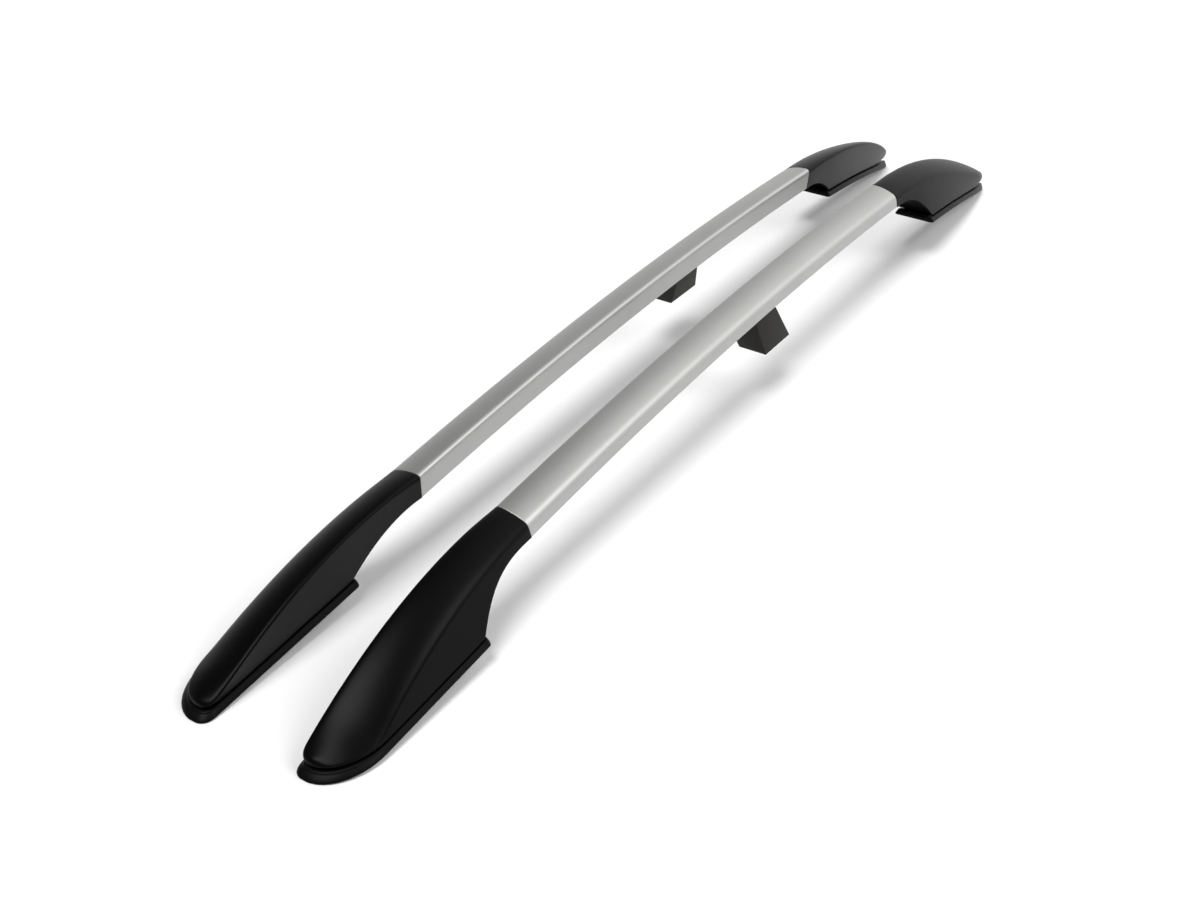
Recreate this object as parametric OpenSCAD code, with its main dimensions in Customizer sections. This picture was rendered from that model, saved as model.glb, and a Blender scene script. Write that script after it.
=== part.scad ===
// Pair of roof side rails. Each rail is a bowed aluminium section that ends in two moulded feet
// and has one support block under its middle. +X runs forward along the rails, +Y to the left.
// A foot is drawn in its own frame: +X away from the rail, +Y away from the car's middle, +Z up.

/* [Pair] */
// Distance between the centre lines of the two rails
rail_spacing = 162; // [150:1:600]

/* [Rail] */
// Length of bare rail between the rear and the front shell
rail_len = 1024; // [800:1:1400]
// Width of the rail across its underside
rail_w = 48; // [44:1:56]
// Height of the outer side, from its lower edge to the ridge
outer_h = 18; // [16:0.5:24]
// Height of the inner shoulder above the outer lower edge
inner_h = 28; // [24:0.5:34]
// Drop of the inner lower edge below the outer one
under_drop = 7; // [0:0.5:9]
// Distance that the ridge stands in from the outer lower edge
ridge_inset = 4; // [1:0.5:7]
// Distance that the inner shoulder stands out past the inner lower edge
shoulder_out = 2.5; // [0:0.5:5]
// Rise of the crowned top between ridge and shoulder
crown = 2.5; // [1:0.5:4]
// Rounding of the ridge and of the inner shoulder
shoulder_r = 8; // [4:0.5:10]
// Rounding of the two lower edges
edge_r = 1.6; // [0.5:0.1:3]
// Thickness of the rail's wall
rail_wall = 2.2; // [1.6:0.1:3]
// Radius of the bow along the rail
bow_r = 7430; // [5000:10:12000]
// Slope of the rail where it enters the rear foot, in degrees
rear_slope = 5.84; // [4:0.01:7]

/* [Underside channel] */
// Width of the slot along the underside
slot_w = 9; // [8.6:0.1:10]
// Width inside the channel
channel_w = 16; // [14:0.5:18]
// Height inside the channel
channel_h = 5.5; // [5:0.1:7]
// Thickness of the lips beside the slot
lip_t = 2.4; // [2:0.1:3]

/* [Feet] */
// Length of the rear foot, from the rail's end to the tip of its pad
rear_len = 370; // [320:1:420]
// Length of the front foot, from the rail's end to the tip of its pad
front_len = 442; // [400:1:480]
// Distance from the rail's end to the inner corner of the rear pad
rear_corner = 114; // [105:1:125]
// Distance from the rail's end to the inner corner of the front pad
front_corner = 105; // [100:1:118]
// Height of the rail's outer lower edge at the rear joint, above the lowest point of the pads
rear_joint_z = 91.7; // [86:0.1:98]
// Height of the rear pad's underside at its inner corner
rear_rise = 24.5; // [18:0.5:30]
// Height of the front pad's underside at its inner corner
front_rise = 64.5; // [58:0.5:70]
// Hollow of the rear pad's underside between corner and tip
rear_bow = 0; // [0:0.5:4]
// Hollow of the front pad's underside between corner and tip
front_bow = 9; // [4:0.5:12]
// Extra gap over the rear pad at its tip
rear_lift = 2; // [0:0.5:5]
// Extra gap over the front pad at its tip
front_lift = 14.5; // [6:0.5:16]

// Sideways place of the rear foot's tip, from the rail's centre line
rear_nose_v = 1.5; // [0:0.5:6]
// Sideways place of the front foot's tip, from the rail's centre line
front_nose_v = 16; // [10:0.5:18]
// Length of the curve from the rear foot's outer side to its tip
rear_run_out = 68; // [60:1:110]
// Length of the curve from the rear foot's inner side to its tip
rear_run_in = 29; // [20:1:50]
// Fullness of the front foot's outer side, in plan
front_power_out = 1.6; // [1.3:0.05:2.2]
// Fullness of the front foot's inner side, in plan
front_power_in = 1.53; // [1.2:0.05:2.2]

/* [Shells] */
// Thickness of the shell's wall
shell_wall = 3; // [2.4:0.1:3.6]
// Gap between the rail's end and the shell's mouth
joint_gap = 0.3; // [0.2:0.1:0.8]
// Distance of the shell's outer side from the rail's centre line, at its lower edge
shell_out = 45; // [42:0.5:48]
// Distance of the shell's inner side from the rail's centre line, at the pad's inner corner
shell_in = 15.5; // [13:0.5:17]
// The same distance near the tip
shell_in_tip = 15.5; // [15:0.5:20]
// Thickness of the shell's edge at the tip
tip_edge = 2.6; // [2.5:0.1:5]
// Distance before the pad's tip at which the ridge runs out into the shell's edge
ridge_end = 62; // [50:1:75]
// Distance that the shell's inner end stands short of the pad's, over the pad's ledge
corner_ledge = 7; // [5:0.5:10]
// Hollowness of the arched inner end, on the inner side of the foot
arch_power_in = 2.1; // [1.8:0.1:3]
// Hollowness of the arched inner end, on the outer side of the foot
arch_power_out = 3; // [2:0.1:3.5]
// Depth of the recess behind the rim of the arch
arch_recess = 5; // [3:0.5:7]
// Fall of the rear ridge where it leaves the rail, per unit of length
rear_ridge_start = 0.04; // [0:0.005:0.2]
// Fall of the rear ridge where it runs out
rear_ridge_end = 0.565; // [0.4:0.01:0.9]
// Fall of the rear shoulder where it leaves the rail
rear_shoulder_start = -0.035; // [-0.06:0.005:0.15]
// Fall of the rear shoulder at the tip
rear_shoulder_end = 0.64; // [0.4:0.01:1]
// Fall of the front ridge where it leaves the rail
front_ridge_start = 0.005; // [0:0.005:0.2]
// Fall of the front ridge where it runs out
front_ridge_end = 0.68; // [0.4:0.01:1.2]
// Fall of the front shoulder where it leaves the rail
front_shoulder_start = 0.01; // [0:0.005:0.2]
// Fall of the front shoulder at the tip
front_shoulder_end = 0.69; // [0.4:0.01:1.4]
// Fullness of the front shoulder's run to the tip, in plan
front_shoulder_power = 1.7; // [1.5:0.1:4]
// Distance of the rear shoulder from the rail's centre line, next to the tip
rear_shoulder_in = 20; // [12:0.5:26]
// Distance of the front shoulder from the rail's centre line, next to the tip
front_shoulder_in = 23; // [12:0.5:26]
// Radius of the posts that take the shell's screws
post_r = 4.5; // [4:0.1:5]

/* [Pads] */
// Distance that the pad stands out past the shell
pad_ledge = 4.5; // [3:0.5:7]
// Distance that the pad's tip stands out past the shell's
tip_ledge = 10.5; // [8:0.5:14]
// Height of the pad's rim
pad_h = 7.5; // [6:0.5:9]
// Extra height of the front pad's rim at its tip
front_tip_extra = 5.5; // [0:0.5:8]
// Extra height of the rear pad's rim at its tip
rear_tip_extra = 1; // [0:0.5:4]
// Height of the dark gap between the pad's rim and the shell
shadow_gap = 4; // [3:0.5:5]
// Distance that the pad's plinth stands in from the shell's outside
plinth_inset = 4.2; // [4:0.1:6]
// Height that the plinth reaches up into the shell
plinth_in = 3; // [2:0.5:5]

/* [Brackets] */
// Length of the spigot inside the rail
spigot_len = 60; // [50:1:80]
// Clearance between the spigot and the rail
spigot_gap = 0.3; // [0.2:0.05:0.5]
// Width of the bracket's riser
riser_w = 15; // [12:1:18]
// Length of the bracket's base plate
plate_len = 130; // [120:1:140]
// Width of the bracket's base plate
plate_w = 30; // [28:1:34]
// Thickness of the bracket's base plate
plate_t = 6; // [5:0.5:7]
// Distance from the pad's inner corner to the base plate
plate_start = 14; // [12:1:20]
// Radius of the boss round the threaded insert
boss_r = 11; // [10:0.5:12]
// Height of the boss above the plate
boss_h = 12; // [11:0.5:14]

/* [Fixings] */
// Radius of the threaded insert's bore, the tapping size of its thread
insert_bore_r = 3.4; // [2.5:0.1:3.4]
// Outer radius of the threaded insert
insert_r = 6; // [5:0.1:6.5]
// Length of the threaded insert
insert_len = 16; // [14:0.5:17]
// Radius of the rail screws' shanks
rail_screw_r = 2.4; // [2:0.1:2.6]
// Radius of the rail screws' heads
rail_screw_head_r = 4.1; // [3.8:0.1:4.2]
// Radius of the shell screws' shanks
shell_screw_r = 1.9; // [1.6:0.1:2.1]
// Radius of the shell screws' heads
shell_screw_head_r = 3.8; // [3.5:0.1:4.2]
// Length of the shell screws' shanks
shell_screw_len = 20; // [16:1:30]
// Running clearance round every screw
screw_gap = 0.2; // [0.15:0.05:0.4]

/* [Support blocks] */
// Distance from the rear joint to the left block
left_block_x = 600; // [450:1:700]
// Distance from the rear joint to the right block
right_block_x = 541; // [450:1:700]
// Length of the block's top along the rail
block_top_len = 60; // [50:1:70]
// Length of the block's base along the rail
block_base_len = 73; // [60:1:85]
// Distance that the base stands forward of the top
block_rake = 14; // [0:1:20]
// Height of the block below the rail's outer edge
block_h = 49; // [42:1:56]
// Distance of the base's inner edge from the rail's centre line
block_base_in = 7; // [2:0.5:12]
// Distance of the base's outer edge from the rail's centre line
block_base_out = 36; // [30:0.5:42]
// Clearance between the block and the rail
block_gap = 0.1; // [0.1:0.05:0.3]
// Radius of the block screw's shank
block_screw_r = 2.9; // [2.4:0.1:3]
// Radius of the block screw's head
block_screw_head_r = 5; // [4.5:0.1:6]
// Thickness of rubber left between the screw's head and the rail
block_seat_t = 14; // [10:1:20]

/* [Hidden] */

// The rails' places along the car, with the middle of the whole length at x = 0
total_len = rear_len + rail_len + front_len;
rear_joint_x = rear_len - total_len / 2;
front_joint_x = total_len / 2 - front_len;
apex_x = rear_joint_x + bow_r * sin(rear_slope);
apex_z = rear_joint_z + bow_r * (1 - cos(rear_slope));
front_slope = asin((front_joint_x - apex_x) / bow_r);

// Height and slope of the rail's outer lower edge at a place along the car
function under_z(x) = apex_z - bow_r * (1 - cos(asin((x - apex_x) / bow_r)));
function under_slope(x) = asin((x - apex_x) / bow_r);

// Values of the rear foot and of the front foot
function foot_len(rear) = rear ? rear_len : front_len;
function corner_x(rear) = rear ? rear_corner : front_corner;
function base_rise(rear) = rear ? rear_rise : front_rise;
function base_bow(rear) = rear ? rear_bow : front_bow;
function tip_lift(rear) = rear ? rear_lift : front_lift;
function joint_z(rear) = rear ? rear_joint_z : under_z(front_joint_x);
function joint_slope(rear) = rear ? rear_slope : front_slope;
function shell_len(rear) = foot_len(rear) - tip_ledge;
function shell_corner(rear) = corner_x(rear) + corner_ledge;

// Share of the way from the pad's inner corner to the tip of its underside, which stands in from
// the tip of its lip
lip_in = 0.9;
function pad_run(rear) = foot_len(rear) - lip_in * tip_ledge / pad_ledge - corner_x(rear);
function pad_share(rear, x) = (x - corner_x(rear)) / pad_run(rear);

// Underside of the pad: a straight fall from corner to tip, raised by a parabola
function base_z(rear, x) =
    let (u = pad_share(rear, x))
    base_rise(rear) * (1 - u) + 4 * base_bow(rear) * u * (1 - u);

// Slope of the pad's underside, as an angle below the horizontal
function base_angle(rear, x) =
    atan((base_rise(rear) - 4 * base_bow(rear) * (1 - 2 * pad_share(rear, x))) / pad_run(rear));

// Lower edge of the shell, a constant gap over the pad that opens towards the tip
function lower_z(rear, x) =
    base_z(rear, x) + pad_h + shadow_gap + tip_lift(rear) * pow(max(0, pad_share(rear, x)), 6);

// Cubic between two heights with a given slope at each end
function ease(x, x1, z0, s0, z1, s1) =
    let (t = x / x1)
    z0 * (2 * pow(t, 3) - 3 * pow(t, 2) + 1) + z1 * (3 * pow(t, 2) - 2 * pow(t, 3))
    + x1 * (s0 * (pow(t, 3) - 2 * pow(t, 2) + t) + s1 * (pow(t, 3) - pow(t, 2)));

// Outer side of a plan outline, a straight side that runs into a superellipse round the nose. The
// shell's own outline has an inset of 0, and the pad is drawn outside and inside of it
function nose_v(rear) = rear ? rear_nose_v : front_nose_v;
function taper(s, power) = pow(max(0, 1 - pow(min(1, max(0, s)), power)), 1 / power);
cavity_end = 26;
function tip_x(rear, inset) =
    shell_len(rear) - inset * (inset < 0 ? tip_ledge / pad_ledge : (cavity_end + 2) / plinth_inset);
function side_out(rear, x, inset) =
    let (run = rear ? rear_run_out : front_len - front_corner,
        power = rear ? 2 : front_power_out)
    nose_v(rear) + (shell_out - inset - nose_v(rear))
        * taper(1 - (tip_x(rear, inset) + blunt - x) / run, power);

// Inner side of a plan outline. Both sides stop a little before the curve's own tip, so that the
// nose ends in a narrow flat
blunt = 0.3;
function side_in(rear, x, inset) =
    let (run = rear ? rear_run_in : front_len - front_corner,
        power = rear ? 2.5 : front_power_in,
        u = rear ? max(0, x - rear_corner) / (shell_len(true) - rear_corner) : 0,
        half = shell_in + (shell_in_tip - shell_in) * u - inset)
    nose_v(rear) - (half + nose_v(rear))
        * taper(1 - (tip_x(rear, inset) + blunt - x) / run, power);

// Places along a foot, close together at the nose
function nose_steps(first, tip, count) =
    [for (i = [0 : count]) first + (tip - first) * sin(90 * i / count)];

// Ridge of the shell: it starts on the rail's ridge and runs out into the lower edge. Where it
// meets the edge, it turns softly: the distance left is kept above 0 by a smooth curve
ridge_v0 = rail_w / 2 - ridge_inset;
shoulder_v0 = -rail_w / 2 - shoulder_out;
ridge_turn_v = 0.8;
ridge_turn_z = 1.6;
function soften(d, w) = d > 12 * w ? d : w * ln(1 + exp(d / w));
function ridge_x1(rear) = foot_len(rear) - ridge_end;
function ridge_v(rear, x) =
    let (x1 = ridge_x1(rear), limit = side_out(rear, x, 0),
        v = ridge_v0 + (side_out(rear, x1, 0) - ridge_v0) * pow(max(0, x) / x1, 1.5))
    limit - soften(limit - v, ridge_turn_v);
function ridge_z(rear, x) =
    let (x1 = ridge_x1(rear), floor_z = lower_z(rear, x) + tip_edge,
        z1 = lower_z(rear, x1) + tip_edge, end_fall = rear ? rear_ridge_end : front_ridge_end,
        z = ease(max(0, min(x, x1)), x1, joint_z(rear) + outer_h,
            -(rear ? rear_ridge_start : front_ridge_start), z1, -end_fall) - end_fall * max(0, x - x1))
    floor_z + soften(z - floor_z, ridge_turn_z);

// Inner shoulder of the shell, which runs to the nose
function shoulder_v(rear, x) =
    let (u = max(0, x) / shell_len(rear), end_v = -(rear ? rear_shoulder_in : front_shoulder_in),
        straight = shoulder_v0 + (end_v - shoulder_v0) * u,
        run = rear ? rear_run_in : front_len - front_corner,
        power = rear ? 2.5 : front_shoulder_power)
    nose_v(rear) + (straight - nose_v(rear)) * taper(1 - (shell_len(rear) + blunt - x) / run, power);
function shoulder_z(rear, x) =
    let (x1 = shell_len(rear))
    ease(max(0, x), x1, joint_z(rear) + inner_h, -(rear ? rear_shoulder_start : front_shoulder_start),
        lower_z(rear, x1) + tip_edge, -(rear ? rear_shoulder_end : front_shoulder_end));

// Lower edge of the shell's inner end: a curve that starts level under the rail and falls to the
// shell's inner corner. It slants down towards the middle of the car, as the rail's underside does
under_slant = under_drop / rail_w;
function edge_z(rear, x, v) =
    let (x1 = shell_corner(rear), u = min(1, max(0, x) / x1),
        z0 = joint_z(rear) - under_slant * (rail_w / 2 - v),
        power = arch_power_in + (arch_power_out - arch_power_in) * (v / rail_w + 0.5))
    x < x1 ? z0 - (z0 - lower_z(rear, x1)) * pow(u, power) : lower_z(rear, x);

// The two side walls are straight from ridge or shoulder down to the foot's outline, so a point
// on a wall follows from its height
foot_out_v0 = 35;
foot_in_v0 = 22;
function wall_v(v_top, z_top, v_low, z_low, z) =
    v_top + (v_low - v_top) * (z_top - z) / max(0.1, z_top - z_low);
function low_out_v(rear, x) =
    let (u = min(1, max(0, x) / shell_corner(rear)))
    x < shell_corner(rear)
        ? foot_out_v0 + (shell_out - foot_out_v0) * sin(90 * u)
        : side_out(rear, x, 0);
function low_in_v(rear, x) =
    let (u = min(1, max(0, x) / shell_corner(rear)))
    x < shell_corner(rear)
        ? -foot_in_v0 + (foot_in_v0 - shell_in) * sin(90 * u)
        : side_in(rear, x, 0);

// One corner rounded by a parabola that touches both sides at the distance r
function unit(a) = a / max(0.001, norm(a));
function round_corner(a, p, b, r, count) =
    let (ra = min(r, 0.45 * norm(a - p)), rb = min(r, 0.45 * norm(b - p)),
        q0 = p + ra * unit(a - p), q2 = p + rb * unit(b - p))
    [for (i = [0 : count]) let (t = i / count)
        (1 - t) * (1 - t) * q0 + 2 * t * (1 - t) * p + t * t * q2];

// Outline of a section from its lower outer corner, over the ridge, the crown and the shoulder,
// to its lower inner corner. Points are [across, up]
function section(low_out, ridge, shoulder, low_in, rise, r, low_r, count) =
    let (top = (ridge + shoulder) / 2 + [0, 2 * rise],
        a = round_corner(low_in, low_out, ridge, low_r, 2),
        b = round_corner(low_out, ridge, top, r, count),
        c = round_corner(top, shoulder, low_in, r, count),
        d = round_corner(shoulder, low_in, low_out, low_r, 2),
        p = b[len(b) - 1], q = c[0])
    concat(a, b,
        [for (t = [0.25 : 0.25 : 0.75]) (1 - t) * (1 - t) * p + 2 * t * (1 - t) * top + t * t * q],
        c, d);

// The rail's section, drawn inside its outline by a given inset
function rail_section(inset, count) =
    section([rail_w / 2 - inset * 1.1, inset], [ridge_v0 - inset, outer_h - inset * 1.15],
        [shoulder_v0 + inset, inner_h - inset * 1.1], [-rail_w / 2 + inset * 1.1, inset - under_drop],
        crown, shoulder_r - inset, max(0.4, edge_r - inset), count);

// Tilt of the underside across the car, in degrees, and the middle of the slot
under_tilt = atan(under_slant);
slot_centre = [0, -under_drop / 2];

// A shape set out from the middle of the rail's underside: first axis along the underside,
// second one up into the rail
module from_underside() {
    translate(slot_centre) rotate(under_tilt) children();
}

module channel_space(w, top) {
    from_underside() translate([-w / 2, lip_t]) square([w, top - lip_t]);
}

channel_top = lip_t + channel_h;
module rail_profile() {
    difference() {
        polygon(rail_section(0, 8));
        difference() {
            polygon(rail_section(rail_wall, 6));
            from_underside() translate([-channel_w / 2 - rail_wall, -rail_w])
                square([channel_w + 2 * rail_wall, rail_w + channel_top + rail_wall]);
        }
        channel_space(channel_w, channel_top);
        from_underside() translate([-slot_w / 2, -rail_w / 2]) square([slot_w, rail_w / 2 + lip_t + 1]);
    }
}

// A frame at the rail's end: +X along the rail's line and away from it
module joint_frame(rear) {
    translate([0, 0, joint_z(rear)]) rotate([0, joint_slope(rear), 0]) children();
}

// The same frame for any place along the car
module rail_frame(x) {
    translate([x, 0, under_z(x)]) rotate([0, under_slope(x), 0]) children();
}

// Draws a section across the rail's line and carries it along by a length
module along(length) {
    rotate([90, 0, 90]) linear_extrude(length) children();
}

// Screws enter the channel from below, square to the underside
rail_screw_x = [-15, -42];
module square_to_underside() {
    translate([0, slot_centre[0], slot_centre[1]]) rotate([under_tilt, 0, 0]) children();
}

module rail() {
    color([0.75, 0.76, 0.76]) difference() {
        translate([apex_x, 0, apex_z - bow_r]) rotate([90, 0, 0]) rotate([0, 0, 90 - front_slope])
            rotate_extrude(angle = rear_slope + front_slope, $fn = 1440)
                translate([bow_r, 0]) rotate(-90) rail_profile();
        place_foot(true, false) rail_screw_holes(true);
        place_foot(false, false) rail_screw_holes(false);
    }
}

module rail_screw_holes(rear) {
    joint_frame(rear) for (x = rail_screw_x) translate([x, 0, 0]) square_to_underside()
        translate([0, 0, channel_top - 1])
            cylinder(r = rail_screw_r + screw_gap, h = rail_wall + 2, $fn = 32);
}

// Puts a foot's frame at its joint
module place_foot(rear, centred = true) {
    translate([rear ? rear_joint_x : front_joint_x, centred ? rail_spacing / 2 : 0, 0])
        mirror([rear ? 1 : 0, 0, 0]) children();
}

// Puts a left-hand piece on the right-hand side
module on_side(left) {
    mirror([0, left ? 0 : 1, 0]) children();
}

// A closed solid through a row of closed outlines with as many points each
module skin(rings) {
    n = len(rings[0]);
    last = len(rings) - 1;
    sides = [for (i = [0 : last - 1]) for (j = [0 : n - 1])
        let (k = (j + 1) % n)
        [i * n + j, (i + 1) * n + j, (i + 1) * n + k, i * n + k]];
    split = [for (f = sides) each [[f[0], f[1], f[2]], [f[0], f[2], f[3]]]];
    polyhedron(points = [for (r = rings) each r],
        faces = concat(split, [[for (j = [0 : n - 1]) j]], [[for (j = [n - 1 : -1 : 0]) last * n + j]]));
}

// One ring of the shell. The first rings lean with the rail's end, so that the mouth lies flat
// against it. The floor is the height of the ring's lower edge, outer side first
lean_run = 60;
function shell_ring(rear, x, inset, floor_z, count) =
    let (lean = tan(joint_slope(rear)) * max(0, 1 - max(0, x) / lean_run),
        ridge = [ridge_v(rear, x) - inset, ridge_z(rear, x) - inset * 1.15],
        shoulder = [shoulder_v(rear, x) + inset, shoulder_z(rear, x) - inset * 1.1],
        low = lower_z(rear, x),
        out_v = wall_v(ridge[0], ridge[1], low_out_v(rear, x) - inset, low, floor_z[0]),
        in_v = wall_v(shoulder[0], shoulder[1], low_in_v(rear, x) + inset, low, floor_z[1]),
        ring = section([out_v, floor_z[0]], ridge, shoulder, [in_v, floor_z[1]], crown,
            shoulder_r - inset / 2, 0.8, count))
    [for (p = ring) [x + (p[1] - joint_z(rear)) * lean, p[0], p[1]]];

module shell_outside(rear) {
    steps = concat([joint_gap, 20, 40], [for (i = [0 : 5]) 60 + i * (shell_corner(rear) - 60) / 5],
        nose_steps(shell_corner(rear) + 6, shell_len(rear), 17));
    skin([for (x = steps)
        shell_ring(rear, x, 0, [edge_z(rear, x, rail_w / 2), edge_z(rear, x, -rail_w / 2)], 4)]);
}

// Space inside the shell: closed underneath by a web behind the arch, open over the pad
web_t = 2.4;
function recess_depth(rear, x) = arch_recess * (1 - pow(min(1, max(0, x) / shell_corner(rear)), 4));
function cavity_floor(rear, x, v) =
    x < shell_corner(rear)
        ? edge_z(rear, x, v) + recess_depth(rear, x) + web_t
        : lower_z(rear, x) - 3;
module shell_inside(rear) {
    steps = concat([-1, 20, 40], [for (i = [0 : 4]) 60 + i * (shell_corner(rear) - 60) / 4 - 0.01],
        nose_steps(shell_corner(rear) + 0.5, shell_len(rear) - cavity_end, 9));
    skin([for (x = steps)
        shell_ring(rear, x, shell_wall,
            [cavity_floor(rear, x, rail_w / 2), cavity_floor(rear, x, -rail_w / 2)], 2)]);
}

// Recess under the web, between the two side walls
module arch_recess_space(rear) {
    steps = [for (i = [1 : 8]) i * shell_corner(rear) / 8 - 6];
    skin([for (x = steps)
        let (low = lower_z(rear, x),
            top_o = edge_z(rear, x, rail_w / 2) + recess_depth(rear, x),
            top_i = edge_z(rear, x, -rail_w / 2) + recess_depth(rear, x),
            ro = [ridge_v(rear, x) - shell_wall, ridge_z(rear, x)],
            ri = [shoulder_v(rear, x) + shell_wall, shoulder_z(rear, x)],
            vo = wall_v(ro[0], ro[1], low_out_v(rear, x) - shell_wall, low, top_o),
            vi = wall_v(ri[0], ri[1], low_in_v(rear, x) + shell_wall, low, top_i))
        [[x, vo, top_o - 12], [x, vo, top_o], [x, vi, top_i], [x, vi, top_i - 12]]]);
}

// The base plate's own frame: +X along the pad's underside towards the tip, +Z square to it and
// out of the car, with the origin on the pad's underside below the middle of the plate
plate_v = 16;
function plate_x(rear) = corner_x(rear) + plate_start + plate_len / 2;
module plate_frame(rear) {
    translate([plate_x(rear), plate_v, base_z(rear, plate_x(rear))])
        rotate([0, base_angle(rear, plate_x(rear)), 0]) children();
}

// Places in the plate's frame: the two shell screws, and the boss with its insert
post_at = [[-48, 6], [50, 0]];
boss_x = 22;
seat_h = pad_h;
plate_top = seat_h + plate_t;
plinth_top = pad_h + shadow_gap + plinth_in;

// Posts that run from the plate up to the inside of the crown
module shell_posts(rear) {
    intersection() {
        shell_outside(rear);
        plate_frame(rear) for (p = post_at) translate([p[0], p[1], plate_top])
            cylinder(r = post_r, h = joint_z(rear) + inner_h, $fn = 24);
    }
}

module shell(rear) {
    color([0.09, 0.09, 0.095]) difference() {
        union() {
            difference() {
                shell_outside(rear);
                shell_inside(rear);
                arch_recess_space(rear);
            }
            shell_posts(rear);
        }
        plate_frame(rear) for (p = post_at) translate([p[0], p[1], plate_top - 1])
            cylinder(r = shell_screw_r + screw_gap, h = shell_screw_len + 2, $fn = 24);
    }
}

// Pad: outlines stacked from the underside over a flared lip to the plinth inside the shell. Each
// entry is [how far the outline stands in from the shell's, height over the underside]
function pad_levels() = [
    [-pad_ledge + lip_in, 0], [-pad_ledge, lip_in], [-pad_ledge, pad_h * 0.35],
    [-pad_ledge + lip_in, pad_h * 0.55], [-pad_ledge * 0.45, pad_h * 0.8],
    [0, pad_h * 0.95], [plinth_inset, pad_h], [plinth_inset, plinth_top]];

// Length of a level that stands in from the pad's inner end
function level_start(rear, level) =
    corner_x(rear) + (level[0] < 0 ? 1.6 * (level[0] + pad_ledge)
        : pad_ledge + corner_ledge * level[0] / plinth_inset);
pad_steps = 22;
function level_z(rear, x, level) =
    let (extra = (rear ? rear_tip_extra : front_tip_extra) / pad_h)
    base_z(rear, x) + level[1] * (1 + extra * pow(max(0, pad_share(rear, x)), 6));
function pad_outline(rear, level) =
    let (xs = nose_steps(level_start(rear, level), tip_x(rear, level[0]), pad_steps))
    concat([for (x = xs) [x, side_out(rear, x, level[0]), level_z(rear, x, level)]],
        [for (i = [pad_steps : -1 : 0])
            [xs[i], side_in(rear, xs[i], level[0]), level_z(rear, xs[i], level)]]);

module pad_body(rear) {
    rings = [for (l = pad_levels()) pad_outline(rear, l)];
    n = len(rings[0]);
    top = (len(rings) - 1) * n;
    sides = [for (i = [0 : len(rings) - 2]) for (j = [0 : n - 1])
        let (k = (j + 1) % n)
        each [[i * n + j, i * n + k, (i + 1) * n + k], [i * n + j, (i + 1) * n + k, (i + 1) * n + j]]];
    caps = [for (j = [0 : pad_steps - 1])
        each [[j + 1, j, n - 1 - j, n - 2 - j], [top + n - 2 - j, top + n - 1 - j, top + j, top + j + 1]]];
    polyhedron(points = [for (r = rings) each r], faces = concat(sides, caps));
}

// Room round the base plate, and round the insert and the screw heads, which the pad leaves open
plate_gap = 0.3;
insert_hole_gap = 1.5;
head_hole_gap = 0.8;
module pad(rear) {
    color([0.06, 0.06, 0.06]) difference() {
        pad_body(rear);
        plate_frame(rear) {
            translate([-plate_len / 2 - plate_gap, -plate_w / 2 - plate_gap, seat_h])
                cube([plate_len + 2 * plate_gap, plate_w + 2 * plate_gap, plate_w]);
            translate([boss_x, 0, -pad_h])
                cylinder(r = insert_r + insert_hole_gap, h = 4 * pad_h, $fn = 32);
            for (p = post_at) translate([p[0], p[1], -pad_h])
                cylinder(r = shell_screw_head_r + head_hole_gap, h = 4 * pad_h, $fn = 24);
        }
    }
}

// Bracket: a spigot in the rail, a neck and a riser inside the shell, and the base plate with
// the boss for the threaded insert
spigot_bottom = channel_top + rail_wall + spigot_gap;

// The straight spigot sits a little low, to stay clear in the bowed rail
spigot_drop = spigot_len * spigot_len / (4 * bow_r);
module spigot_profile(inset) {
    difference() {
        polygon(rail_section(inset, 5));
        from_underside() translate([-rail_w, -rail_w]) square([2 * rail_w, rail_w + spigot_bottom]);
    }
}

neck_len = 26;
neck_inset = 5.5;

// The riser fills the space between the shell's web and its ridge with a gap, and stands on the
// inner edge of the plate
riser_gap = 6.5;
riser_foot = 34;
riser_v = plate_v - plate_w / 2;
function riser_top(rear, x) = ridge_z(rear, x) - riser_gap;
function riser_low(rear, x) = cavity_floor(rear, x, rail_w / 2) + 1;
module riser(rear) {
    x0 = 6;
    x1 = shell_corner(rear) - 3;
    x2 = corner_x(rear) + plate_start + 6;
    x3 = x2 + riser_foot;
    low = base_z(rear, x3) + plate_top - 1;
    translate([0, riser_v + riser_w, 0]) rotate([90, 0, 0]) linear_extrude(riser_w)
        polygon(concat(
            [for (i = [0 : 6]) let (x = x0 + (x1 - x0) * i / 6) [x, riser_low(rear, x)]],
            [[x2, base_z(rear, x2) + plinth_top + 1], [x2, base_z(rear, x2) + plate_top - 1], [x3, low]],
            [for (i = [6 : -1 : 0]) let (x = x0 + (x3 - 4 - x0) * i / 6) [x, riser_top(rear, x)]]));
}

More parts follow.
